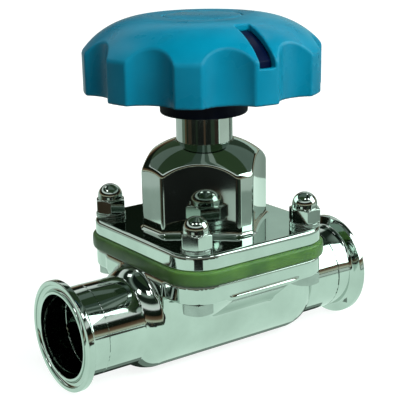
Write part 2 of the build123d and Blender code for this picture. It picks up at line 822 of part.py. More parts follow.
# One cap nut: bevelled hexagon, short collar and dome over a blind thread, and its four places
with BuildPart() as cap_nut:
    with BuildSketch(level(nut_seat)):
        RegularPolygon(hex_flats / 2, 6, major_radius=False)
    extrude(amount=nut_hex_height)
    with BuildSketch(stem_section):
        bevelled_outline(nut_seat, nut_seat + nut_hex_height, hex_bevel, hex_bevel)
    revolve(axis=stem_axis, mode=Mode.INTERSECT)
    with BuildSketch(stem_section):
        with BuildLine():
            dome = CenterArc((0, nut_dome_height), nut_dome_radius, 0, 90)
            Polyline(dome @ 1, (0, nut_seat), (nut_dome_radius, nut_seat), dome @ 0)
        make_face()
    revolve(axis=stem_axis)
    with BuildSketch(level(nut_seat)):
        Circle(thread_radius)
    extrude(amount=nut_thread_top - nut_seat, mode=Mode.SUBTRACT)
with BuildPart() as cap_nuts:
    with GridLocations(2 * bolt_x, 2 * bolt_y, 2, 2):
        add(cap_nut.part)
save(cap_nuts, "cap_nuts")
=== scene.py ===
import json
import math

import bmesh
import bpy
import numpy as np
from mathutils import Matrix, Vector


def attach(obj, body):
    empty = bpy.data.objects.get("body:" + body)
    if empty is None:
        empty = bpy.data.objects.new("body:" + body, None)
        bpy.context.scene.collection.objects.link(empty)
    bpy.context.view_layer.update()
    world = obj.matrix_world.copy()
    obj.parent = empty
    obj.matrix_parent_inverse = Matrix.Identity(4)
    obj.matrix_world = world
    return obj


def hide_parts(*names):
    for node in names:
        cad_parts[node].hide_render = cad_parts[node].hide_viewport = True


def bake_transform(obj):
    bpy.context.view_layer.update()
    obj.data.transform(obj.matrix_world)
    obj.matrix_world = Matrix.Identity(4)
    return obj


# Sanitary diaphragm valve, DN40, with clamp ends: X along the flow, Z up the stem
# Lengths in the tables are millimetres and angles are degrees
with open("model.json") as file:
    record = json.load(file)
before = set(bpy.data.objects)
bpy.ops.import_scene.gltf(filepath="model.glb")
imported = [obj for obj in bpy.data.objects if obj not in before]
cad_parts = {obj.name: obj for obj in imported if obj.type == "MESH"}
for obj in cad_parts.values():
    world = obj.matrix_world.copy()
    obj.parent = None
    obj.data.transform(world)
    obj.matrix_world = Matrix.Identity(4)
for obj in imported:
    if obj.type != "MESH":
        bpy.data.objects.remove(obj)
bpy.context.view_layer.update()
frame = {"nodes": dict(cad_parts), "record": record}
stemX = 79.5
print("frame loaded,", len(frame["nodes"]), "nodes")


def hexToLinear(code):
    channels = [int(code[i:i + 2], 16) / 255 for i in (1, 3, 5)]
    return [c / 12.92 if c <= 0.04045 else ((c + 0.055) / 1.055) ** 2.4 for c in channels] + [1.0]


def addNode(tree, kind, settings=None, inputs=None, stops=None):
    # settings are attributes, inputs are values, sockets or nodes, stops are a ramp's places and hex colours
    node = tree.nodes.new(kind)
    for key, value in (settings or {}).items():
        setattr(node, key, value)
    for key, value in (inputs or {}).items():
        if isinstance(value, bpy.types.Node):
            value = value.outputs[0]
        if isinstance(value, bpy.types.NodeSocket):
            tree.links.new(value, node.inputs[key])
        else:
            node.inputs[key].default_value = value
    if stops:
        elements = node.color_ramp.elements
        elements.remove(elements[1])
        elements[0].position = stops[0][0]
        for position, code in stops[1:]:
            elements.new(position)
        for element, (position, code) in zip(elements, stops):
            element.color = hexToLinear(code)
    return node


def newMaterial(name, values):
    # one shader, and the piece's own coordinates in metres for its patterns
    material = bpy.data.materials.new(name)
    material.use_nodes = True
    tree = material.node_tree
    tree.nodes.clear()
    shader = addNode(tree, "ShaderNodeBsdfPrincipled", inputs=values)
    addNode(tree, "ShaderNodeOutputMaterial", inputs={"Surface": shader})
    place = addNode(tree, "ShaderNodeTexCoord")
    return material, tree, shader, place.outputs["Object"]


def connect(tree, shader, nodes):
    for socket, node in nodes.items():
        tree.links.new(node.outputs[0], shader.inputs[socket])


# Finishes: the sizes and depths of their patterns, and the range of their roughness
steelLook = {"dull": "#B2BDB7", "bright": "#C2CDC7", "wave": 9.0, "waveDepth": 0.05, "haze": 22.0,
             "smooth": 0.03, "rough": 0.09}


def electropolishedSteel():
    # 316L stainless, cast, ground and electropolished: a mirror with a slow waviness and a faint haze
    look = steelLook
    material, tree, shader, place = newMaterial("ElectropolishedSteel", {"Metallic": 1.0, "Roughness": 0.07})
    wave = addNode(tree, "ShaderNodeTexNoise", inputs={
        "Vector": place, "Scale": 1000 / look["wave"], "Detail": 1.0, "Roughness": 0.4})
    haze = addNode(tree, "ShaderNodeTexNoise", inputs={
        "Vector": place, "Scale": 1000 / look["haze"], "Detail": 4.0})
    tone = addNode(tree, "ShaderNodeValToRGB", inputs={0: haze}, stops=[(0.3, look["dull"]), (0.7, look["bright"])])
    rough = addNode(tree, "ShaderNodeMapRange", inputs={
        "Value": haze, "From Min": 0.3, "From Max": 0.75, "To Min": look["smooth"], "To Max": look["rough"]})
    bump = addNode(tree, "ShaderNodeBump", inputs={
        "Strength": 0.25, "Distance": look["waveDepth"] / 1000, "Height": wave})
    connect(tree, shader, {"Base Color": tone, "Roughness": rough, "Normal": bump})
    return material


barLook = {"dull": "#96A09B", "bright": "#ACB6B1", "ringPitch": 0.987, "ringDepth": 0.02, "stain": 8.0,
           "smooth": 0.16, "rough": 0.3}


def turnedSteel():
    # stainless bar, turned on a lathe: a satin shine and rings, coarser than the real feed so that they show
    look = barLook
    material, tree, shader, place = newMaterial("TurnedSteel", {"Metallic": 1.0, "Roughness": 0.2})
    radiansPerUnit = 20  # of the wave node at scale 1
    rings = addNode(tree, "ShaderNodeTexWave",
                    {"wave_type": "BANDS", "bands_direction": "Z", "wave_profile": "SIN"},
                    {"Vector": place, "Scale": 2 * math.pi / radiansPerUnit * 1000 / look["ringPitch"],
                     "Distortion": 0.4, "Detail": 1.0})
    stain = addNode(tree, "ShaderNodeTexNoise", inputs={
        "Vector": place, "Scale": 1000 / look["stain"], "Detail": 4.0})
    tone = addNode(tree, "ShaderNodeValToRGB", inputs={0: stain}, stops=[(0.3, look["dull"]), (0.7, look["bright"])])
    rough = addNode(tree, "ShaderNodeMapRange", inputs={
        "Value": stain, "To Min": look["smooth"], "To Max": look["rough"]})
    bump = addNode(tree, "ShaderNodeBump", inputs={
        "Strength": 0.3, "Distance": look["ringDepth"] / 1000, "Height": rings})
    connect(tree, shader, {"Base Color": tone, "Roughness": rough, "Normal": bump})
    return material


wheelLook = {"colour": "#006B8A", "worn": "#00799A", "roughness": 0.3}
hubLook = {"colour": "#010722", "worn": "#020D30", "roughness": 0.4}
mouldLook = {"grain": 0.7, "grainDepth": 0.06, "cloud": 18.0, "spread": 0.06}


def mouldedPlastic(name, look):
    # glass filled polyamide out of a spark eroded mould: fine grain, soft shine, lighter where hands rub it
    material, tree, shader, place = newMaterial(name, {
        "IOR": 1.5, "Specular IOR Level": 0.15, "Roughness": look["roughness"]})
    grain = addNode(tree, "ShaderNodeTexNoise", inputs={
        "Vector": place, "Scale": 1000 / mouldLook["grain"], "Detail": 2.0})
    cloud = addNode(tree, "ShaderNodeTexNoise", inputs={
        "Vector": place, "Scale": 1000 / mouldLook["cloud"], "Detail": 3.0})
    tone = addNode(tree, "ShaderNodeValToRGB", inputs={0: cloud}, stops=[(0.3, look["colour"]), (0.75, look["worn"])])
    rough = addNode(tree, "ShaderNodeMapRange", inputs={
        "Value": cloud, "From Min": 0.3, "From Max": 0.7,
        "To Min": look["roughness"] - mouldLook["spread"], "To Max": look["roughness"] + mouldLook["spread"]})
    bump = addNode(tree, "ShaderNodeBump", inputs={
        "Strength": 0.25, "Distance": mouldLook["grainDepth"] / 1000, "Height": grain})
    connect(tree, shader, {"Base Color": tone, "Roughness": rough, "Normal": bump})
    return material


rubberLook = {"dark": "#38572F", "light": "#58783C", "cloud": 14.0, "cloudDepth": 0.1,
              "glowDepth": (0.004, 0.0045, 0.001)}  # how far red, green and blue light goes in, in metres


def pressedElastomer():
    # olive elastomer, press moulded: a soft shine, and light goes a little way in
    look = rubberLook
    material, tree, shader, place = newMaterial("PressedElastomer", {
        "IOR": 1.41, "Specular IOR Level": 0.3, "Roughness": 0.32, "Subsurface Weight": 0.35,
        "Subsurface Radius": look["glowDepth"], "Subsurface Scale": 1.0})
    cloud = addNode(tree, "ShaderNodeTexNoise", inputs={
        "Vector": place, "Scale": 1000 / look["cloud"], "Detail": 3.0})
    tone = addNode(tree, "ShaderNodeValToRGB", inputs={0: cloud}, stops=[(0.3, look["dark"]), (0.75, look["light"])])
    bump = addNode(tree, "ShaderNodeBump", inputs={
        "Strength": 0.15, "Distance": look["cloudDepth"] / 1000, "Height": cloud})
    connect(tree, shader, {"Base Color": tone, "Normal": bump})
    return material


bronzeLook = {"dark": "#8C6334", "light": "#B98A4E", "roughness": 0.3, "metallic": 1.0, "mottle": 3.0}
sealLook = {"dark": "#0B0C0B", "light": "#161716", "roughness": 0.5, "metallic": 0.0, "mottle": 2.0}
insideLook = {"mottleDepth": 0.03, "spread": 0.08}


def insideFinish(name, look):
    # turned bronze and moulded black rubber, both inside the valve: a plain mottled surface
    material, tree, shader, place = newMaterial(name, {"Metallic": look["metallic"], "Roughness": look["roughness"]})
    mottle = addNode(tree, "ShaderNodeTexNoise", inputs={
        "Vector": place, "Scale": 1000 / look["mottle"], "Detail": 4.0})
    tone = addNode(tree, "ShaderNodeValToRGB", inputs={0: mottle}, stops=[(0.3, look["dark"]), (0.7, look["light"])])
    rough = addNode(tree, "ShaderNodeMapRange", inputs={
        "Value": mottle, "To Min": look["roughness"] - insideLook["spread"],
        "To Max": look["roughness"] + insideLook["spread"]})
    bump = addNode(tree, "ShaderNodeBump", inputs={
        "Strength": 0.2, "Distance": insideLook["mottleDepth"] / 1000, "Height": mottle})
    connect(tree, shader, {"Base Color": tone, "Roughness": rough, "Normal": bump})
    return material


finishes = {
    "polished_steel": electropolishedSteel(),
    "machined_steel": turnedSteel(),
    "teal_plastic": mouldedPlastic("TealPolyamide", wheelLook),
    "navy_plastic": mouldedPlastic("NavyPolyamide", hubLook),
    "diaphragm_rubber": pressedElastomer(),
    "bronze": insideFinish("TurnedBronze", bronzeLook),
    "seal_rubber": insideFinish("BlackElastomer", sealLook),
}
nodeSlot = {row["node"]: row["material_slot"] for row in frame["record"]["subparts"]}
for name, node in frame["nodes"].items():
    node.data.materials.clear()
    node.data.materials.append(finishes[nodeSlot[name]])
print("finishes made")

# Pieces cast or moulded in one go are drawn as a smooth field, negative inside, with round edges and
# blended corners


def roundBoth(a, b, radius):
    # inside both a and b, with the meeting edge rounded
    u = np.maximum(radius + a, 0)
    v = np.maximum(radius + b, 0)
    return np.minimum(-radius, np.maximum(a, b)) + np.sqrt(u * u + v * v)


def roundEither(a, b, radius):
    # inside a or b, with the corner between them filled
    u = np.maximum(radius - a, 0)
    v = np.maximum(radius - b, 0)
    return np.maximum(radius, np.minimum(a, b)) - np.sqrt(u * u + v * v)


def roundedRectangle(x, y, halfX, halfY, corner):
    u = np.abs(x) - halfX + corner
    v = np.abs(y) - halfY + corner
    return np.sqrt(np.maximum(u, 0) ** 2 + np.maximum(v, 0) ** 2) + np.minimum(np.maximum(u, v), 0) - corner


def slab(z, low, high):
    return np.abs(z - (low + high) / 2) - (high - low) / 2


def circleThrough(p, q, r):
    # centre and radius of the circle through three points
    (a, b), (c, d), (e, f) = p, q, r
    m = np.array([[c - a, d - b], [e - a, f - b]])
    v = np.array([c * c - a * a + d * d - b * b, e * e - a * a + f * f - b * b]) / 2
    centre = np.linalg.solve(m, v)
    return centre[0], centre[1], math.hypot(a - centre[0], b - centre[1])


def slopeOf(field, points, reach):
    # the field's value at the points, and its slope over this reach to each side
    value = field(points[:, 0], points[:, 1], points[:, 2])
    slope = np.zeros_like(points)
    for axis in range(3):
        offset = np.zeros(3)
        offset[axis] = reach
        ahead = points + offset
        behind = points - offset
        slope[:, axis] = (field(ahead[:, 0], ahead[:, 1], ahead[:, 2])
                          - field(behind[:, 0], behind[:, 1], behind[:, 2])) / (2 * reach)
    return value, slope


def meshObject(name, points, faces, normals=None):
    mesh = bpy.data.meshes.new(name)
    mesh.from_pydata((np.asarray(points) / 1000).tolist(), [], [list(f) for f in faces])
    mesh.polygons.foreach_set("use_smooth", [True] * len(mesh.polygons))
    mesh.update()
    if normals is not None:
        mesh.normals_split_custom_set_from_vertices([tuple(n) for n in normals])
    thing = bpy.data.objects.new(name, mesh)
    bpy.context.scene.collection.objects.link(thing)
    return thing


def meshFromField(name, field, sizes, middle=stemX):
    # one vertex in each cell that the surface crosses, moved onto it, with the field's own normals
    cell = sizes["cell"]
    low, high = ((middle + x, y, z) for x, y, z in sizes["box"])
    counts = [int(math.ceil((h - l) / cell)) + 3 for l, h in zip(low, high)]
    axes = [l - cell + cell * np.arange(n) for l, n in zip(low, counts)]
    values = field(*np.meshgrid(*axes, indexing="ij")).astype(np.float32)
    inside = values < 0
    corners = [(i, j, k) for i in (0, 1) for j in (0, 1) for k in (0, 1)]
    nx, ny, nz = counts

    def corner(array, c):
        return array[c[0]:nx - 1 + c[0], c[1]:ny - 1 + c[1], c[2]:nz - 1 + c[2]]

    total = sum(corner(inside, c).astype(np.int8) for c in corners)
    active = (total > 0) & (total < 8)
    index = -np.ones(active.shape, np.int64)
    index[active] = np.arange(active.sum())
    cells = np.argwhere(active)

    # a cell's vertex starts at the mean of the places where its edges cross the surface
    points = np.zeros((len(cells), 3))
    weights = np.zeros(len(cells))
    edges = [(a, b) for a in corners for b in corners if a < b and sum(abs(p - q) for p, q in zip(a, b)) == 1]
    for a, b in edges:
        va = corner(values, a)[active]
        vb = corner(values, b)[active]
        crossed = (va < 0) != (vb < 0)
        share = np.where(crossed, va / np.where(crossed, va - vb, 1), 0)
        for axis in range(3):
            points[:, axis] += np.where(crossed, a[axis] + (b[axis] - a[axis]) * share, 0)
        weights += crossed
    points = points / weights[:, None] + cells
    points = points * cell + np.array([a[0] for a in axes])

    # a few steps down the slope bring it onto the surface
    steps, probe, finerProbe, flattest = 4, cell * 0.1, cell * 0.06, 0.25
    for step in range(steps):
        value, slope = slopeOf(field, points, probe)
        move = value / np.maximum((slope ** 2).sum(1), flattest)
        points -= np.clip(move, -cell / 2, cell / 2)[:, None] * slope
    value, slope = slopeOf(field, points, finerProbe)
    normals = slope / np.maximum(np.linalg.norm(slope, axis=1), 1e-9)[:, None]

    # a face across each grid edge that crosses the surface, turned outwards
    faces = []
    for axis in range(3):
        u, v = (axis + 1) % 3, (axis + 2) % 3
        start = [slice(1, -1)] * 3
        start[axis] = slice(0, -1)
        ahead = list(start)
        ahead[axis] = slice(1, None)
        here, there = inside[tuple(start)], inside[tuple(ahead)]
        for flip, chosen in ((False, here & ~there), (True, ~here & there)):
            base = np.argwhere(chosen) + 1
            base[:, axis] -= 1
            ring = []
            for du, dv in ((0, 0), (1, 0), (1, 1), (0, 1)):
                place = base.copy()
                place[:, u] -= du
                place[:, v] -= dv
                ring.append(index[place[:, 0], place[:, 1], place[:, 2]])
            quad = np.stack(ring, 1)
            faces.append(quad[:, ::-1] if flip else quad)
    return meshObject(name, points, np.concatenate(faces), normals)


def finishPiece(piece, body, nodes, slotName):
    piece.data.materials.clear()
    piece.data.materials.append(finishes[slotName])
    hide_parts(*nodes)
    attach(piece, body)
    print("piece", piece.name, len(piece.data.polygons), "faces")


studs = {"x": 30.5, "y": 35.0, "hole": 4.5}


def studHoles(u, v):
    # negative outside the four holes
    return studs["hole"] - np.hypot(u - studs["x"], v - studs["y"])


# Body: tube stubs, shoulders, U shaped block, flanks and the flange, all one casting
bodySizes = {"bore": 19.0, "tube": 20.5, "stub": 66.8, "mouth": 6.0, "mouthEdge": 0.12, "innerEdge": 0.5,
             "block": 24.1, "halfBlock": 40.5, "blockEdge": 2.0, "blockDrop": 2.0, "blockTopEdge": 0.5,
             "shoulder": 7.5, "shoulderBulge": 0.7, "shoulderBlend": 1.0,
             "flangeBottom": 15.9, "seat": 24.3, "halfX": 40.5, "halfY": 43.9, "corner": 15.3, "flangeEdge": 0.9,
             "flank": 22.5, "flankEdge": 7.0, "flankInset": 1.0, "flankLap": 0.5, "flankTopEdge": 0.3,
             "flankBlend": 3.0, "flangeBlend": 2.0, "bowl": 28.0, "bowlBlend": 2.0, "crest": 5.3, "crestHalf": 3.5,
             "weirFoot": 26.0, "weirEdge": 1.5, "weirBlend": 1.5, "holeEdge": 0.4,
             "box": ((-67.2, -44.5, -24.8), (67.2, 44.5, 24.8)), "cell": 0.8}


def bodyField(x, y, z):
    s = bodySizes
    u = np.abs(x - stemX)
    radial = np.sqrt(y * y + z * z)
    middle = (s["block"] + s["tube"]) / 2 + s["shoulderBulge"]
    cu, cr, reach = circleThrough((s["halfBlock"] + s["shoulder"], s["tube"]),
                                  (s["halfBlock"] + s["shoulder"] / 2, middle), (s["halfBlock"], s["block"]))
    onArc = np.clip(u, s["halfBlock"], s["halfBlock"] + s["shoulder"])
    outline = cr + np.sqrt(reach ** 2 - (onArc - cu) ** 2)
    turned = np.maximum(radial - outline, u - s["stub"])
    across = np.where(z < 0, radial, np.abs(y)) - s["block"]
    block = roundBoth(roundBoth(across, u - s["halfBlock"], s["blockEdge"]), z - s["seat"] + s["blockDrop"],
                      s["blockTopEdge"])
    plate = roundBoth(roundedRectangle(u, y, s["halfX"], s["halfY"], s["corner"]),
                      slab(z, s["flangeBottom"], s["seat"]), s["flangeEdge"])
    slope = np.array([s["halfY"] - s["flankInset"] - s["block"], s["flangeBottom"]])
    slope = slope / np.hypot(*slope)
    side = (np.abs(y) - s["block"]) * slope[1] - z * slope[0]
    flank = roundBoth(roundBoth(side, u - s["flank"], s["flankEdge"]), z - s["flangeBottom"] - s["flankLap"],
                      s["flankTopEdge"])
    casting = roundEither(turned, block, s["shoulderBlend"])
    casting = roundEither(casting, flank, s["flankBlend"])
    casting = roundEither(casting, plate, s["flangeBlend"])

    # the weir: a hump over the bore's floor, its crest hollowed like a saddle by the diaphragm's seat
    deep = s["seat"] - s["crest"]
    saddle = (s["bowl"] ** 2 + deep ** 2) / (2 * deep)
    overCrest = saddle - np.sqrt(y * y + (z - s["crest"] - saddle) ** 2)
    foot = s["weirFoot"] - s["crestHalf"]
    climb = s["crest"] + s["bore"]
    curve = (foot ** 2 + climb ** 2) / (2 * climb)
    along = np.minimum(u, s["weirFoot"]) - s["weirFoot"]
    level = z + s["bore"] - curve
    face = np.where(level < 0, curve - np.sqrt(along ** 2 + level ** 2), along + curve)
    weir = roundBoth(face, overCrest, s["weirEdge"])
    bowl = np.sqrt(u * u + y * y + (z - s["seat"]) ** 2) - s["bowl"]
    hollow = roundBoth(roundEither(radial - s["bore"], bowl, s["bowlBlend"]), -weir, s["weirBlend"])
    edge = np.where(u > s["stub"] - s["mouth"], s["mouthEdge"], s["innerEdge"])
    return roundBoth(roundBoth(casting, -hollow, edge), studHoles(u, np.abs(y)), s["holeEdge"])


print("drawing the body")
body = meshFromField("bodyCasting", bodyField, bodySizes)
finishPiece(body, "valve", ["valve_body"], "polished_steel")

# Bonnet: plate with rounded corners and a tower of eight sides under a domed roof, the wide sides a little hollow
bonnetSizes = {"bottom": 31.3, "top": 38.3, "halfX": 40.5, "halfY": 43.9, "corner": 15.3, "edge": 1.5,
               "bottomEdge": 0.4, "flat": 25.85, "tip": 31.0, "hollow": 0.9, "towerEdge": 1.0, "towerLap": 1.0,
               "towerLapEdge": 0.3, "towerBlend": 2.0, "roof": ((31.0, 65.5), (22.5, 73.3), (12.9, 77.2)),
               "roofEdge": 1.1, "cavity": 22.5, "cavityTop": 60.0, "cavityEdge": 1.0, "guide": 24.5,
               "guideHalf": 3.15, "guideTop": 48.3, "innerEdge": 0.4, "neck": 12.92, "neckEdge": 0.5,
               "holeEdge": 0.4, "box": ((-41, -44.4, 31.0), (41, 44.4, 77.8)), "cell": 0.62}


def bonnetField(x, y, z):
    s = bonnetSizes
    u, v = np.abs(x - stemX), np.abs(y)
    r = np.sqrt(u * u + v * v)
    plate = roundBoth(roundedRectangle(u, v, s["halfX"], s["halfY"], s["corner"]), z - s["top"], s["edge"])
    plate = roundBoth(plate, s["bottom"] - z, s["bottomEdge"])
    facing = math.atan2(studs["y"], studs["x"])
    half = math.acos(s["flat"] / s["tip"])
    reach = s["tip"] * math.sin(half)
    hollow = (reach ** 2 + s["hollow"] ** 2) / (2 * s["hollow"])
    far = s["flat"] - s["hollow"] + hollow
    wide = hollow - np.hypot(u - far * math.cos(facing), v - far * math.sin(facing))
    prism = roundBoth(wide, u - s["tip"] * math.cos(facing - half), s["towerEdge"])
    prism = roundBoth(prism, v - s["tip"] * math.cos(math.pi / 2 - facing - half), s["towerEdge"])
    middle, rise, reach = circleThrough(*s["roof"])
    roof = np.sqrt((r - middle) ** 2 + (z - rise) ** 2) - reach
    tower = roundBoth(roundBoth(prism, roof, s["roofEdge"]), s["bottom"] + s["towerLap"] - z, s["towerLapEdge"])
    outside = roundEither(plate, tower, s["towerBlend"])
    cavity = roundBoth(r - s["cavity"], z - s["cavityTop"], s["cavityEdge"])
    guides = np.maximum(np.maximum(u - s["guide"], v - s["guideHalf"]), z - s["guideTop"])
    outside = roundBoth(outside, -np.minimum(cavity, guides), s["innerEdge"])
    outside = roundBoth(outside, s["neck"] - r, s["neckEdge"])
    return roundBoth(outside, studHoles(u, v), s["holeEdge"])


bonnet = meshFromField("bonnetCasting", bonnetField, bonnetSizes)
finishPiece(bonnet, "valve", ["bonnet"], "polished_steel")

# Handwheel: domed shell with ten lobes and finger scallops, a slot and the cap's opening
wheelSizes = {"radius": 53.9, "bottom": 100.7, "rim": 118.9, "crown": 133.0, "reach": 29.9, "wall": 3.0,
              "lobes": 10, "scallopDepth": 5.9, "scallopWidth": 22.0, "lobeEdge": 0.75, "edge": 0.8,
              "bottomEdge": 0.8, "innerEdge": 1.5, "wallEdge": 0.5, "slotAngle": -96.5, "slotStart": 33.0,
              "slotWidth": 7.5, "slotCorner": 1.0, "lip": 116.0, "lipEdge": 0.4, "slotEdge": 0.6,
              "cap": 17.6, "capDepth": 6.0, "capEdge": 0.4,
              "box": ((-54.4, -54.4, 100.2), (54.4, 54.4, 133.4)), "cell": 0.7}


def domeDistance(r, z, depth):
    # to the dome's outside, or this far under it
    s = wheelSizes
    drop = s["crown"] - s["rim"]
    sweep = (s["reach"] ** 2 + drop ** 2) / (2 * drop)
    beyond = r - (s["radius"] - s["reach"])
    level = z - (s["crown"] - sweep)
    return np.where(beyond > 0, np.sqrt(beyond ** 2 + level ** 2) - sweep, level - sweep) + depth


def slotDistances(u, v):
    # along and across the slot's middle line
    turn = math.radians(wheelSizes["slotAngle"])
    return u * math.cos(turn) + v * math.sin(turn), -u * math.sin(turn) + v * math.cos(turn)


def wheelField(x, y, z):
    s = wheelSizes
    u, v = x - stemX, y
    r = np.sqrt(u * u + v * v)
    turn = np.arctan2(v, u) - math.radians(s["slotAngle"]) - math.pi / s["lobes"]
    pitch = 2 * math.pi / s["lobes"]
    turn = np.mod(turn + pitch / 2, pitch) - pitch / 2
    half = s["scallopWidth"] / 2
    sag = math.sqrt(s["radius"] ** 2 - half ** 2) - s["radius"] + s["scallopDepth"]
    finger = (sag ** 2 + half ** 2) / (2 * sag)
    centre = s["radius"] - s["scallopDepth"] + finger
    scallop = np.sqrt((r * np.cos(turn) - centre) ** 2 + (r * np.sin(turn)) ** 2) - finger
    rim = roundBoth(r - s["radius"], -scallop, s["lobeEdge"])
    outside = roundBoth(roundBoth(rim, domeDistance(r, z, 0), s["edge"]), s["bottom"] - z, s["bottomEdge"])
    rimInside = roundBoth(r - s["radius"] + s["wall"], s["wall"] - scallop, s["innerEdge"])
    inside = roundBoth(rimInside, domeDistance(r, z, s["wall"]), s["innerEdge"])
    shell = roundBoth(outside, -inside, s["wallEdge"])
    along, across = slotDistances(u, v)
    cut = roundBoth(np.abs(across) - s["slotWidth"] / 2, s["slotStart"] - along, s["slotCorner"])
    cut = roundBoth(cut, s["lip"] - z, s["lipEdge"])
    shell = roundBoth(shell, -cut, s["slotEdge"])
    return roundBoth(shell, -np.maximum(r - s["cap"], s["crown"] - s["capDepth"] - z), s["capEdge"])


wheel = meshFromField("handwheelShell", wheelField, wheelSizes)
finishPiece(wheel, "handwheel_set", ["handwheel"], "teal_plastic")

# Hub of the wheel: skirt round the neck, layer under the dome and the dark bar in the slot
hubSizes = {"radius": 20.0, "bottom": 89.6, "skirtEdge": 1.2, "topEdge": 0.3, "bore": 13.6, "shoulder": 110.0,
            "boreEdge": 0.6, "insert": 9.02, "insertTop": 121.0, "insertLap": 1.0, "recess": 13.4,
            "gap": 0.05, "layer": 3.0, "layerEdge": 0.4, "reach": 44.0, "reachEdge": 0.6, "layerBlend": 2.5,
            "barEnd": 50.8, "barDepth": 2.6, "barGap": 0.12, "barEdge": 0.3,
            "box": ((-44.5, -51.4, 89.2), (44.5, 44.5, 130.4)), "cell": 0.7}


def hubField(x, y, z):
    s, w = hubSizes, wheelSizes
    u, v = x - stemX, y
    r = np.sqrt(u * u + v * v)
    under = domeDistance(r, z, w["wall"] + s["gap"])
    below = domeDistance(r, z, w["wall"] + s["layer"])
    layer = roundBoth(roundBoth(under, -below, s["layerEdge"]), r - s["reach"], s["reachEdge"])
    core = roundBoth(roundBoth(r - s["radius"], s["bottom"] - z, s["skirtEdge"]), under, s["topEdge"])
    hub = roundEither(layer, core, s["layerBlend"])
    along, across = slotDistances(u, v)
    bar = np.maximum(np.abs(across) - w["slotWidth"] / 2 + s["barGap"], w["slotStart"] + s["barGap"] - along)
    bar = roundBoth(np.maximum(bar, -below), domeDistance(r, z, s["barDepth"]), s["barEdge"])
    hub = np.minimum(hub, np.maximum(bar, r - s["barEnd"]))
    hub = roundBoth(hub, -np.maximum(r - s["bore"], z - s["shoulder"]), s["boreEdge"])
    hub = np.maximum(hub, -np.maximum(r - s["insert"], z - s["insertTop"] - s["insertLap"]))
    return np.maximum(hub, -np.maximum(r - s["recess"], s["insertTop"] - z))


hub = meshFromField("handwheelHub", hubField, hubSizes)
finishPiece(hub, "handwheel_set", ["wheel_hub"], "navy_plastic")

# Diaphragm: thick rim between body and bonnet, thin web down to the button over the weir
membraneSizes = {"bottom": 24.3, "top": 31.3, "halfX": 42.2, "halfY": 45.6, "corner": 17.0, "bulge": 0.35,
                 "rimEdge": 1.2, "rim": 27.0, "rimLap": 0.5, "innerEdge": 1.0, "web": 3.0, "dish": 7.0,
                 "button": 10.0, "slant": 0.85, "webLap": 1.5, "webEdge": 0.5, "webBlend": 1.2, "holeEdge": 0.3,
                 "box": ((-42.6, -46, 17), (42.6, 46, 31.7)), "cell": 0.8}


def membraneField(x, y, z):
    s = membraneSizes
    u, v = np.abs(x - stemX), np.abs(y)
    r = np.sqrt(u * u + v * v)
    middle, half = (s["bottom"] + s["top"]) / 2, (s["top"] - s["bottom"]) / 2
    bulge = s["bulge"] * np.clip(1 - ((z - middle) / half) ** 2, 0, 1) - s["bulge"]
    rim = roundBoth(roundedRectangle(u, v, s["halfX"], s["halfY"], s["corner"]) - bulge,
                    slab(z, s["bottom"], s["top"]), s["rimEdge"])
    rim = roundBoth(rim, s["rim"] + s["rimLap"] - r, s["innerEdge"])
    share = np.clip((r - s["button"]) / (s["rim"] - s["button"]), 0, 1)
    sheet = s["bottom"] + s["web"] / 2 - s["dish"] * (1 - share)
    web = roundBoth((np.abs(z - sheet) - s["web"] / 2) * s["slant"], r - s["rim"] - s["webLap"], s["webEdge"])
    return roundBoth(roundEither(rim, web, s["webBlend"]), studHoles(u, v), s["holeEdge"])


membrane = meshFromField("diaphragmSheet", membraneField, membraneSizes)
membrane.data.materials.append(finishes["diaphragm_rubber"])
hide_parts("diaphragm")
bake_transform(membrane)
print("castings and mouldings made")


# Turned pieces: a closed outline of (radius, height, corner radius), spun round its axis
def roundedOutline(corners, steps=5):
    points = []
    for i, (a, b, radius) in enumerate(corners):
        here = np.array([a, b], float)
        if radius <= 0:
            points.append(here)
            continue
        before = np.array(corners[i - 1][:2], float) - here
        after = np.array(corners[(i + 1) % len(corners)][:2], float) - here
        lengths = np.linalg.norm(before), np.linalg.norm(after)
        before, after = before / lengths[0], after / lengths[1]
        angle = math.acos(max(-1, min(1, float(before @ after))))
        # an arc takes up less than half of each side
        reach = min(radius / math.tan(angle / 2), lengths[0] * 0.49, lengths[1] * 0.49)
        radius = reach * math.tan(angle / 2)
        bisector = (before + after) / np.linalg.norm(before + after)
        centre = here + bisector * radius / math.sin(angle / 2)
        first, last = here + before * reach - centre, here + after * reach - centre
        sweep = math.atan2(first[0] * last[1] - first[1] * last[0], float(first @ last))
        for k in range(steps + 1):
            t = sweep * k / steps
            turn = np.array([[math.cos(t), -math.sin(t)], [math.sin(t), math.cos(t)]])
            points.append(centre + turn @ first)
    return points


def turnedPiece(name, corners, axis="Z", start=0.0, way=1, segments=144):
    outline = roundedOutline(corners)
    area = sum(p[0] * q[1] - q[0] * p[1] for p, q in zip(outline, outline[1:] + outline[:1]))
    if area < 0:
        outline = outline[::-1]
    points, rings, faces = [], [], []
    for radius, height in outline:
        count = segments if radius > 1e-6 else 1  # one point on the axis
        rings.append(range(len(points), len(points) + count))
        for k in range(count):
            turn = 2 * math.pi * k / segments
            px, py = radius * math.cos(turn), radius * math.sin(turn)
            if axis == "X":
                points.append((start + way * height, -way * py, px))
            else:
                points.append((stemX + px, py, start + height))
    for a, b in zip(rings, rings[1:] + rings[:1]):
        if len(a) == 1 and len(b) == 1:
            continue
        for k in range(segments):
            n = (k + 1) % segments
            if len(a) == 1:
                faces.append((a[0], b[n], b[k]))
            elif len(b) == 1:
                faces.append((a[k], a[n], b[0]))
            else:
                faces.append((a[k], a[n], b[n], b[k]))
    return meshObject(name, points, faces)


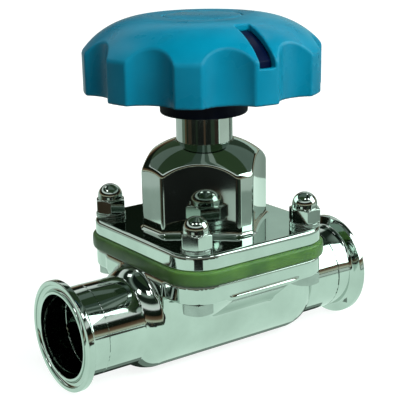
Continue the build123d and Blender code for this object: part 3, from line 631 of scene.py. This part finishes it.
def crispEdges(piece, degrees=32):
    # sharp where two faces meet at more than this angle, smooth elsewhere
    mesh = piece.data
    work = bmesh.new()
    work.from_mesh(mesh)
    for edge in work.edges:
        edge.smooth = not (len(edge.link_faces) == 2 and edge.calc_face_angle(0) > math.radians(degrees))
    work.to_mesh(mesh)
    work.free()
    return piece


# Clamp ferrules: a rim with a gasket groove in its face and a sloped back
ferruleSizes = {"bore": 19.0, "boreEdge": 0.3, "tube": 20.5, "rim": 25.25, "rimWidth": 2.85, "faceEdge": 0.4,
                "rimEdge": 0.5, "slope": 20.0, "footFillet": 1.8, "length": 12.7, "groovePitch": 21.75,
                "groove": 1.6, "grooveLip": 0.12, "grooveSteps": 12}


def ferruleOutline():
    s = ferruleSizes
    foot = s["rimWidth"] + (s["rim"] - s["tube"]) * math.tan(math.radians(s["slope"]))
    outline = [(s["bore"], s["length"], 0), (s["bore"], 0, s["boreEdge"])]
    outline.append((s["groovePitch"] - s["groove"] - s["grooveLip"], 0, 0))
    for k in range(s["grooveSteps"] + 1):
        a = math.pi * k / s["grooveSteps"]
        outline.append((s["groovePitch"] - s["groove"] * math.cos(a), s["groove"] * math.sin(a), 0))
    outline.append((s["groovePitch"] + s["groove"] + s["grooveLip"], 0, 0))
    outline += [(s["rim"], 0, s["faceEdge"]), (s["rim"], s["rimWidth"], s["rimEdge"])]
    outline += [(s["tube"], foot, s["footFillet"]), (s["tube"], s["length"], 0)]
    return outline


for name, node, start, way in (("inletFerrule", "inlet_ferrule", 0.0, 1),
                               ("outletFerrule", "outlet_ferrule", 2 * stemX, -1)):
    ferrule = crispEdges(turnedPiece(name, ferruleOutline(), "X", start, way))
    finishPiece(ferrule, "valve", [node], "polished_steel")

# Neck: sleeve with a collar in the tower, a seal groove outside and one inside
neckSizes = {"outside": 12.9, "inside": 10.52, "stem": 7.1, "collar": 15.5, "foot": 57.0, "collarTop": 60.0,
             "collarEdge": 0.3, "ceiling": 84.0, "top": 97.0, "topEdge": 0.6, "stemEdge": 0.2, "grooveEdge": 0.1,
             "outerGroove": (11.1, 92.3, 94.7), "innerGroove": (9.5, 87.2, 89.8)}  # radius, low and high


def neckOutline():
    s = neckSizes
    outer, outerLow, outerHigh = s["outerGroove"]
    inner, innerLow, innerHigh = s["innerGroove"]
    return [(s["inside"], s["foot"], 0), (s["collar"], s["foot"], s["collarEdge"]),
            (s["collar"], s["collarTop"], s["collarEdge"]), (s["outside"], s["collarTop"], 0),
            (s["outside"], outerLow, s["grooveEdge"]), (outer, outerLow, 0),
            (outer, outerHigh, 0), (s["outside"], outerHigh, s["grooveEdge"]),
            (s["outside"], s["top"], s["topEdge"]), (s["stem"], s["top"], s["stemEdge"]),
            (s["stem"], innerHigh, 0), (inner, innerHigh, 0),
            (inner, innerLow, 0), (s["stem"], innerLow, 0),
            (s["stem"], s["ceiling"], s["stemEdge"]), (s["inside"], s["ceiling"], 0)]


neck = crispEdges(turnedPiece("neckSleeve", neckOutline()))
finishPiece(neck, "valve", ["neck_sleeve"], "polished_steel")

# Cap: a disc flush with the crown, on a ring that grips the hub's recess
capSizes = {"radius": 17.5, "top": 133.0, "bottom": 130.1, "topEdge": 0.8, "bottomEdge": 0.2,
            "ringOutside": 13.0, "ringInside": 11.5, "ringBottom": 127.6, "ringEdge": 0.3}


def capOutline():
    s = capSizes
    return [(0, s["top"], 0), (s["radius"], s["top"], s["topEdge"]), (s["radius"], s["bottom"], s["bottomEdge"]),
            (s["ringOutside"], s["bottom"], 0), (s["ringOutside"], s["ringBottom"], s["ringEdge"]),
            (s["ringInside"], s["ringBottom"], s["ringEdge"]), (s["ringInside"], s["bottom"], 0),
            (0, s["bottom"], 0)]


cap = crispEdges(turnedPiece("centreCap", capOutline()))
finishPiece(cap, "handwheel_set", ["centre_cap"], "teal_plastic")

# Fasteners: one sample of each, set at the four studs by a node tree
fastenerSizes = {"flats": 13.0, "bevel": 30.0, "bevelDrop": 0.55, "hexEdge": 0.15, "seat": 40.3, "hex": 6.5,
                 "dome": 5.75, "domeLevel": 48.25, "domeLap": 1.0, "domeBlend": 0.35, "thread": 4.0,
                 "threadTop": 50.25, "threadEdge": 0.2, "headLow": 10.6, "headTop": 15.9, "headBlend": 0.3,
                 "shank": 3.95, "shankLap": 1.0, "shankEdge": 0.5, "boltTop": 48.25, "washer": 7.0,
                 "washerLow": 38.3, "washerEdge": 0.35, "washerHole": 4.2, "washerHoleEdge": 0.25}


def hexagonField(x, y, z, low, high, lowBevel, highBevel):
    s = fastenerSizes
    reach = s["flats"] / 2
    sides = np.maximum(np.abs(y), np.abs(x) * math.sqrt(0.75) + np.abs(y) / 2) - reach
    prism = roundBoth(sides, slab(z, low, high), s["hexEdge"])
    corner, slope = s["flats"] / math.sqrt(3), math.radians(s["bevel"])
    r = np.hypot(x, y)
    if highBevel:
        cone = (r - corner) * math.sin(slope) + (z - high + s["bevelDrop"]) * math.cos(slope)
        prism = roundBoth(prism, cone, s["hexEdge"])
    if lowBevel:
        cone = (r - corner) * math.sin(slope) + (low + s["bevelDrop"] - z) * math.cos(slope)
        prism = roundBoth(prism, cone, s["hexEdge"])
    return prism


def nutField(x, y, z):
    s = fastenerSizes
    r = np.hypot(x, y)
    hexagon = hexagonField(x, y, z, s["seat"], s["seat"] + s["hex"], True, True)
    over = np.sqrt(r * r + np.maximum(z - s["domeLevel"], 0) ** 2) - s["dome"]
    dome = np.maximum(over, s["seat"] + s["domeLap"] - z)
    whole = roundEither(hexagon, dome, s["domeBlend"])
    return roundBoth(whole, -np.maximum(r - s["thread"], z - s["threadTop"]), s["threadEdge"])


def boltField(x, y, z):
    s = fastenerSizes
    r = np.hypot(x, y)
    head = hexagonField(x, y, z, s["headLow"], s["headTop"], True, False)
    shank = roundBoth(r - s["shank"], slab(z, s["headTop"] - s["shankLap"], s["boltTop"]), s["shankEdge"])
    return roundEither(head, shank, s["headBlend"])


def washerField(x, y, z):
    s = fastenerSizes
    r = np.hypot(x, y)
    disc = roundBoth(r - s["washer"], slab(z, s["washerLow"], s["seat"]), s["washerEdge"])
    return roundBoth(disc, s["washerHole"] - r, s["washerHoleEdge"])


def repeatTree():
    tree = bpy.data.node_groups.new("atStuds", "GeometryNodeTree")
    face = tree.interface
    face.new_socket("Geometry", in_out="INPUT", socket_type="NodeSocketGeometry")
    for label in ("Spacing X", "Spacing Y", "Centre X"):
        face.new_socket(label, in_out="INPUT", socket_type="NodeSocketFloat")
    face.new_socket("Finish", in_out="INPUT", socket_type="NodeSocketMaterial")
    face.new_socket("Geometry", in_out="OUTPUT", socket_type="NodeSocketGeometry")
    given = addNode(tree, "NodeGroupInput").outputs
    grid = addNode(tree, "GeometryNodeMeshGrid", inputs={
        "Size X": given["Spacing X"], "Size Y": given["Spacing Y"], "Vertices X": 2, "Vertices Y": 2})
    centre = addNode(tree, "ShaderNodeCombineXYZ", inputs={"X": given["Centre X"]})
    moved = addNode(tree, "GeometryNodeTransform", inputs={"Geometry": grid, "Translation": centre})
    copies = addNode(tree, "GeometryNodeInstanceOnPoints", inputs={"Points": moved, "Instance": given["Geometry"]})
    real = addNode(tree, "GeometryNodeRealizeInstances", inputs={"Geometry": copies})
    finish = addNode(tree, "GeometryNodeSetMaterial", inputs={"Geometry": real, "Material": given["Finish"]})
    addNode(tree, "NodeGroupOutput", inputs={"Geometry": finish})
    return tree


def applyTree(thing, tree, values):
    # runs the tree once and keeps its result as a plain mesh
    modifier = thing.modifiers.new("nodes", "NODES")
    modifier.node_group = tree
    for item in tree.interface.items_tree:
        if item.in_out == "INPUT" and item.name in values:
            modifier[item.identifier] = values[item.name]
    ready = thing.evaluated_get(bpy.context.evaluated_depsgraph_get())
    mesh = bpy.data.meshes.new_from_object(ready)
    thing.modifiers.clear()
    thing.data = mesh


atStuds = repeatTree()
for name, field, radius, low, high, node, slotName in (
        ("capNuts", nutField, 7.6, 40.3, 54.0, "cap_nuts", "polished_steel"),
        ("flangeBolts", boltField, 7.6, 10.6, 48.3, "flange_bolts", "machined_steel"),
        ("flangeWashers", washerField, 7.1, 38.3, 40.3, "flange_washers", "machined_steel")):
    sample = meshFromField(name, field, {"box": ((-radius, -radius, low), (radius, radius, high)), "cell": 0.3}, 0)
    applyTree(sample, atStuds, {"Spacing X": 2 * studs["x"] / 1000, "Spacing Y": 2 * studs["y"] / 1000,
                                "Centre X": stemX / 1000, "Finish": finishes[slotName]})
    finishPiece(sample, "valve", [node], slotName)
print("fasteners made")

# Camera at the photograph's place, its azimuth counted from Y towards X
cameraSizes = {"place": (-205.5, -394.8, 185.4), "azimuth": 35.83, "elevation": 17.70, "roll": -1.03,
               "lens": 97.7, "sensor": 36.0, "shift": (-0.0157, 0.0919), "clip": (10, 20000)}


def setCamera():
    c = cameraSizes
    az, el, roll = (math.radians(c[k]) for k in ("azimuth", "elevation", "roll"))
    ahead = Vector((math.sin(az) * math.cos(el), math.cos(az) * math.cos(el), -math.sin(el)))
    right = Vector((math.cos(az), -math.sin(az), 0))
    up = right.cross(ahead)
    rightTurned = right * math.cos(roll) + up * math.sin(roll)
    upTurned = up * math.cos(roll) - right * math.sin(roll)
    data = bpy.data.cameras.new("camera")
    data.lens = c["lens"]
    data.sensor_width = c["sensor"]
    data.shift_x, data.shift_y = c["shift"]
    data.clip_start, data.clip_end = (distance / 1000 for distance in c["clip"])
    camera = bpy.data.objects.new("camera", data)
    camera.matrix_world = Matrix.Translation(Vector(c["place"]) / 1000) @ Matrix(
        (rightTurned, upTurned, -ahead)).transposed().to_4x4()
    bpy.context.scene.collection.objects.link(camera)
    bpy.context.scene.camera = camera


setCamera()

# Studio: a pale floor, soft boxes, and cards in a dark and light pattern that the steel mirrors
studio = {"floorLevel": -25.6, "floorReach": 2500.0, "floorBase": "#858885", "floorGlow": (0.84, 1.0),
          "glowRange": (100, 600), "cardsFrom": 245.0, "cardsMiddle": 330.0, "cardsTo": 2500.0, "cardsLift": 1.0,
          "cornerFrom": 208.0, "mint": "#E0FAEC", "mintGlow": 1.08, "mintLift": 0.5, "paintedShadowSpan": (10, 149),
          "roofLevel": 88.8, "roofRadii": (13.5, 56.0)}
floorLevel, floorReach = studio["floorLevel"], studio["floorReach"]
cardLevel = floorLevel + studio["cardsLift"]


def stageMesh(name, points, faces, code, glow=1.0, base="#000000"):
    # a part of the studio that glows in one colour
    mesh = bpy.data.meshes.new(name)
    mesh.from_pydata([tuple(c / 1000 for c in p) for p in points], [], faces)
    thing = bpy.data.objects.new(name, mesh)
    bpy.context.scene.collection.objects.link(thing)
    material, tree, shader, place = newMaterial(name + "Finish", {
        "Base Color": hexToLinear(base), "Emission Color": hexToLinear(code), "Emission Strength": glow,
        "Roughness": 0.8, "Specular IOR Level": 0.1})
    mesh.materials.append(material)
    return thing, tree, shader, place


def mirrorMesh(name, points, faces, code, glow=1.0):
    # seen by the steel alone: the camera and the other light rays pass it
    thing = stageMesh(name, points, faces, code, glow)[0]
    for ray in ("camera", "diffuse", "shadow", "transmission", "volume_scatter"):
        setattr(thing, "visible_" + ray, False)


def flatCorners(fromX, toX, halfY, z):
    return [(fromX, -halfY, z), (toX, -halfY, z), (toX, halfY, z), (fromX, halfY, z)]


def mirrorCard(name, turns, radii, height, code, steps=6):
    # a flat piece of a ring round the stem
    points = []
    for k in range(steps + 1):
        turn = math.radians(turns[0] + (turns[1] - turns[0]) * k / steps)
        points += [(stemX + radius * math.cos(turn), radius * math.sin(turn), height) for radius in radii]
    mirrorMesh(name, points, [(2 * k, 2 * k + 1, 2 * k + 3, 2 * k + 2) for k in range(steps)], code)


def mirrorRing(name, radii, height, cards):
    for number, (first, last, code) in enumerate(cards):
        mirrorCard("%s%02d" % (name, number), (first, last), radii, height, code)


floor, tree, shader, place = stageMesh(
    "studioFloor", flatCorners(stemX - floorReach, stemX + floorReach, floorReach, floorLevel),
    [(0, 1, 2, 3)], "#FFFFFF", base=studio["floorBase"])
floor.visible_diffuse = False
# it glows less near the valve, where the lights fill it and the valve's shadow shows
away = addNode(tree, "ShaderNodeVectorMath", {"operation": "DISTANCE"},
               {0: place, 1: [stemX / 1000, 0.0, floorLevel / 1000]})
glow = addNode(tree, "ShaderNodeMapRange", inputs={
    "Value": away.outputs["Value"], "From Min": studio["glowRange"][0] / 1000,
    "From Max": studio["glowRange"][1] / 1000, "To Min": studio["floorGlow"][0], "To Max": studio["floorGlow"][1]})
connect(tree, shader, {"Emission Strength": glow})

# start and end in degrees round the stem, where the camera stands at -126, and colour
farCards = [(-194, -178, "#3B3024"), (-178, -160, "#0D130F"), (-160, -152, "#1D2A1E"), (-152, -128, "#0A0D0C"),
            (-128, -121, "#4A3A2C"), (-121, -100, "#0C110E"), (-100, -84, "#2A3A2B"), (-84, -66, "#2A2018"),
            (-62, -6, "#C9D8CE"), (-6, 8, "#5F6E64"), (8, 40, "#93A59A"), (40, 54, "#33402F"), (54, 62, "#6A5842"),
            (62, 134, "#C4D2CB"), (134, 150, "#6E7F70"), (150, 158, "#59472F"), (158, 166, "#1A241A")]
nearCards = [(-194, -178, "#3B3024"), (-178, -160, "#0D130F"), (-160, -139.6, "#BFD0C6"),
             (-139.6, -137.2, "#54402F"), (-114, -100, "#0C110E"), (-100, -84, "#2A3A2B"), (-84, -66, "#10160F"),
             (-62, -6, "#93A59B"), (-6, 8, "#5F6E64"), (40, 54, "#33402F"), (54, 62, "#6A5842"),
             (62, 134, "#A3B5AB"), (134, 150, "#6E7F70"), (150, 158, "#59472F"), (158, 166, "#1A241A")]
mirrorRing("studioFar", (studio["cardsMiddle"], studio["cardsTo"]), cardLevel, farCards)
mirrorRing("studioNear", (studio["cardsFrom"], studio["cardsMiddle"]), cardLevel, nearCards)
mirrorCard("studioCorner", (-137.2, -114), (studio["cornerFrom"], studio["cardsMiddle"]), cardLevel, "#0A0D0C")
# the steel mirrors a mint floor, as in the photograph, while the camera sees a white one
mirrorMesh("studioMint", flatCorners(stemX - floorReach, stemX + floorReach, floorReach,
                                     floorLevel + studio["mintLift"]),
           [(0, 1, 2, 3)], studio["mint"], studio["mintGlow"])
# painted contact shadow: two dark strips on the floor under the valve, seen only by the steel, that darken its lower
# edges
for number, (halfWidth, lift, code) in enumerate(((13.5, 1.0, "#7F9187"), (8.5, 1.5, "#29332C"))):
    mirrorMesh("studioPaintedShadow%d" % number, flatCorners(*studio["paintedShadowSpan"], halfWidth, floorLevel + lift),
               [(0, 1, 2, 3)], code)

# painted reflection: a glowing upright panel behind the valve, seen only by the steel, for the right half of the
# plate's top
panelSizes = {"azimuth": 54.2, "distance": 700, "side": (67, 480), "height": (150, 350), "colour": "#B4CCC0"}


def setPanel():
    p = panelSizes
    turn = math.radians(p["azimuth"])
    (near, far), (low, high) = p["side"], p["height"]
    points = [(stemX + p["distance"] * math.cos(turn) + side * math.sin(turn),
               p["distance"] * math.sin(turn) - side * math.cos(turn), height)
              for side, height in ((near, low), (far, low), (far, high), (near, high))]
    mirrorMesh("studioReflectionPanel", points, [(0, 1, 2, 3)], p["colour"])


setPanel()
# painted reflection: glowing cards under the wheel, seen only by the steel, which the bonnet's roof mirrors in place
# of the wheel above it
roofReflectionCards = [(-205, -150, "#32442F"), (-150, -133, "#43534A"), (-133, -126, "#7D8C84"), (-126, -117, "#4D5D52"),
             (-117, -106, "#8A988F"), (-106, -60, "#34482F"), (-60, -10, "#62736A"), (-10, 30, "#2C3B2E"),
             (30, 80, "#52635A"), (80, 120, "#33442F"), (120, 155, "#66756C")]
mirrorRing("studioRoofReflection", studio["roofRadii"], studio["roofLevel"], roofReflectionCards)


def softBox(name, place, aim, size, power, colour, glossy):
    # place is counted from the stem's foot, aim is the height on the stem that it faces
    data = bpy.data.lights.new(name, "AREA")
    data.shape = "RECTANGLE"
    data.size, data.size_y = size[0] / 1000, size[1] / 1000
    data.energy = power
    data.color = hexToLinear(colour)[:3]
    lamp = bpy.data.objects.new(name, data)
    start = Vector((stemX + place[0], place[1], place[2]))
    lamp.location = start / 1000
    lamp.rotation_euler = (Vector((stemX, 0, aim)) - start).to_track_quat("-Z", "Y").to_euler()
    lamp.visible_glossy = glossy
    bpy.context.scene.collection.objects.link(lamp)


# name, place, aim, size, power in watts, colour, and whether the steel mirrors it
for box in (("frontBox", (-130, -600, 720), 90, (500, 500), 4.4, "#E0FFF0", False),
            ("keyBox", (600, -420, 420), 90, (560, 560), 4.0, "#EAFFF8", True),
            ("sideBox", (145, -680, 540), 90, (350, 350), 4.9, "#E8FFF8", False),
            ("fillBox", (-500, -600, 200), 60, (500, 400), 0.4, "#C8E0FF", False),
            ("backBox", (-60, 700, 480), 80, (500, 500), 2.0, "#E4F6FF", False)):
    softBox(*box)
lampSizes = {"distance": 800, "aim": 50, "size": (130, 130), "colour": "#FFFFFF"}
# azimuth, elevation and power of the small lamps that give the steel its glints
for number, (around, above, power) in enumerate(((-168, 52, 0.3), (-118, 60, 0.3), (-70, 48, 0.3), (20, 55, 0.12),
                                                 (110, 50, 0.12))):
    around, above = math.radians(around), math.radians(above)
    side = lampSizes["distance"] * math.cos(above)
    rise = lampSizes["aim"] + lampSizes["distance"] * math.sin(above)
    softBox("lamp%d" % number, (side * math.cos(around), side * math.sin(around), rise), lampSizes["aim"],
            lampSizes["size"], power, lampSizes["colour"], True)

# World: white for the camera, and for the steel a room that changes from the floor's edge up to the ceiling
roomStops = [(0.0, "#1C2420"), (0.012, "#C6CCB8"), (0.07, "#B4B8A0"), (0.1, "#7C6652"), (0.2, "#54402F"),
             (0.24, "#10170F"), (0.41, "#1A241C"), (0.45, "#F8FCFA"), (0.58, "#DCE8E0"), (0.63, "#202B23"),
             (0.76, "#202B23"), (0.82, "#8FA196"), (0.88, "#16201A")]
world = bpy.data.worlds.new("studioWorld")
bpy.context.scene.world = world
world.use_nodes = True
worldTree = world.node_tree
worldTree.nodes.clear()
path = addNode(worldTree, "ShaderNodeLightPath")
room = addNode(worldTree, "ShaderNodeTexCoord")
height = addNode(worldTree, "ShaderNodeSeparateXYZ", inputs={0: room.outputs["Generated"]})
sky = addNode(worldTree, "ShaderNodeValToRGB", inputs={0: height.outputs[2]}, stops=roomStops)
seen = addNode(worldTree, "ShaderNodeBackground", inputs={"Color": [1.0, 1.0, 1.0, 1.0], "Strength": 1.0})
mirrored = addNode(worldTree, "ShaderNodeBackground", inputs={"Color": sky, "Strength": 1.0})
both = addNode(worldTree, "ShaderNodeMixShader", inputs={0: path.outputs["Is Camera Ray"], 1: mirrored, 2: seen})
addNode(worldTree, "ShaderNodeOutputWorld", inputs={0: both})
bpy.context.scene.view_settings.view_transform = "Standard"
print("studio set")
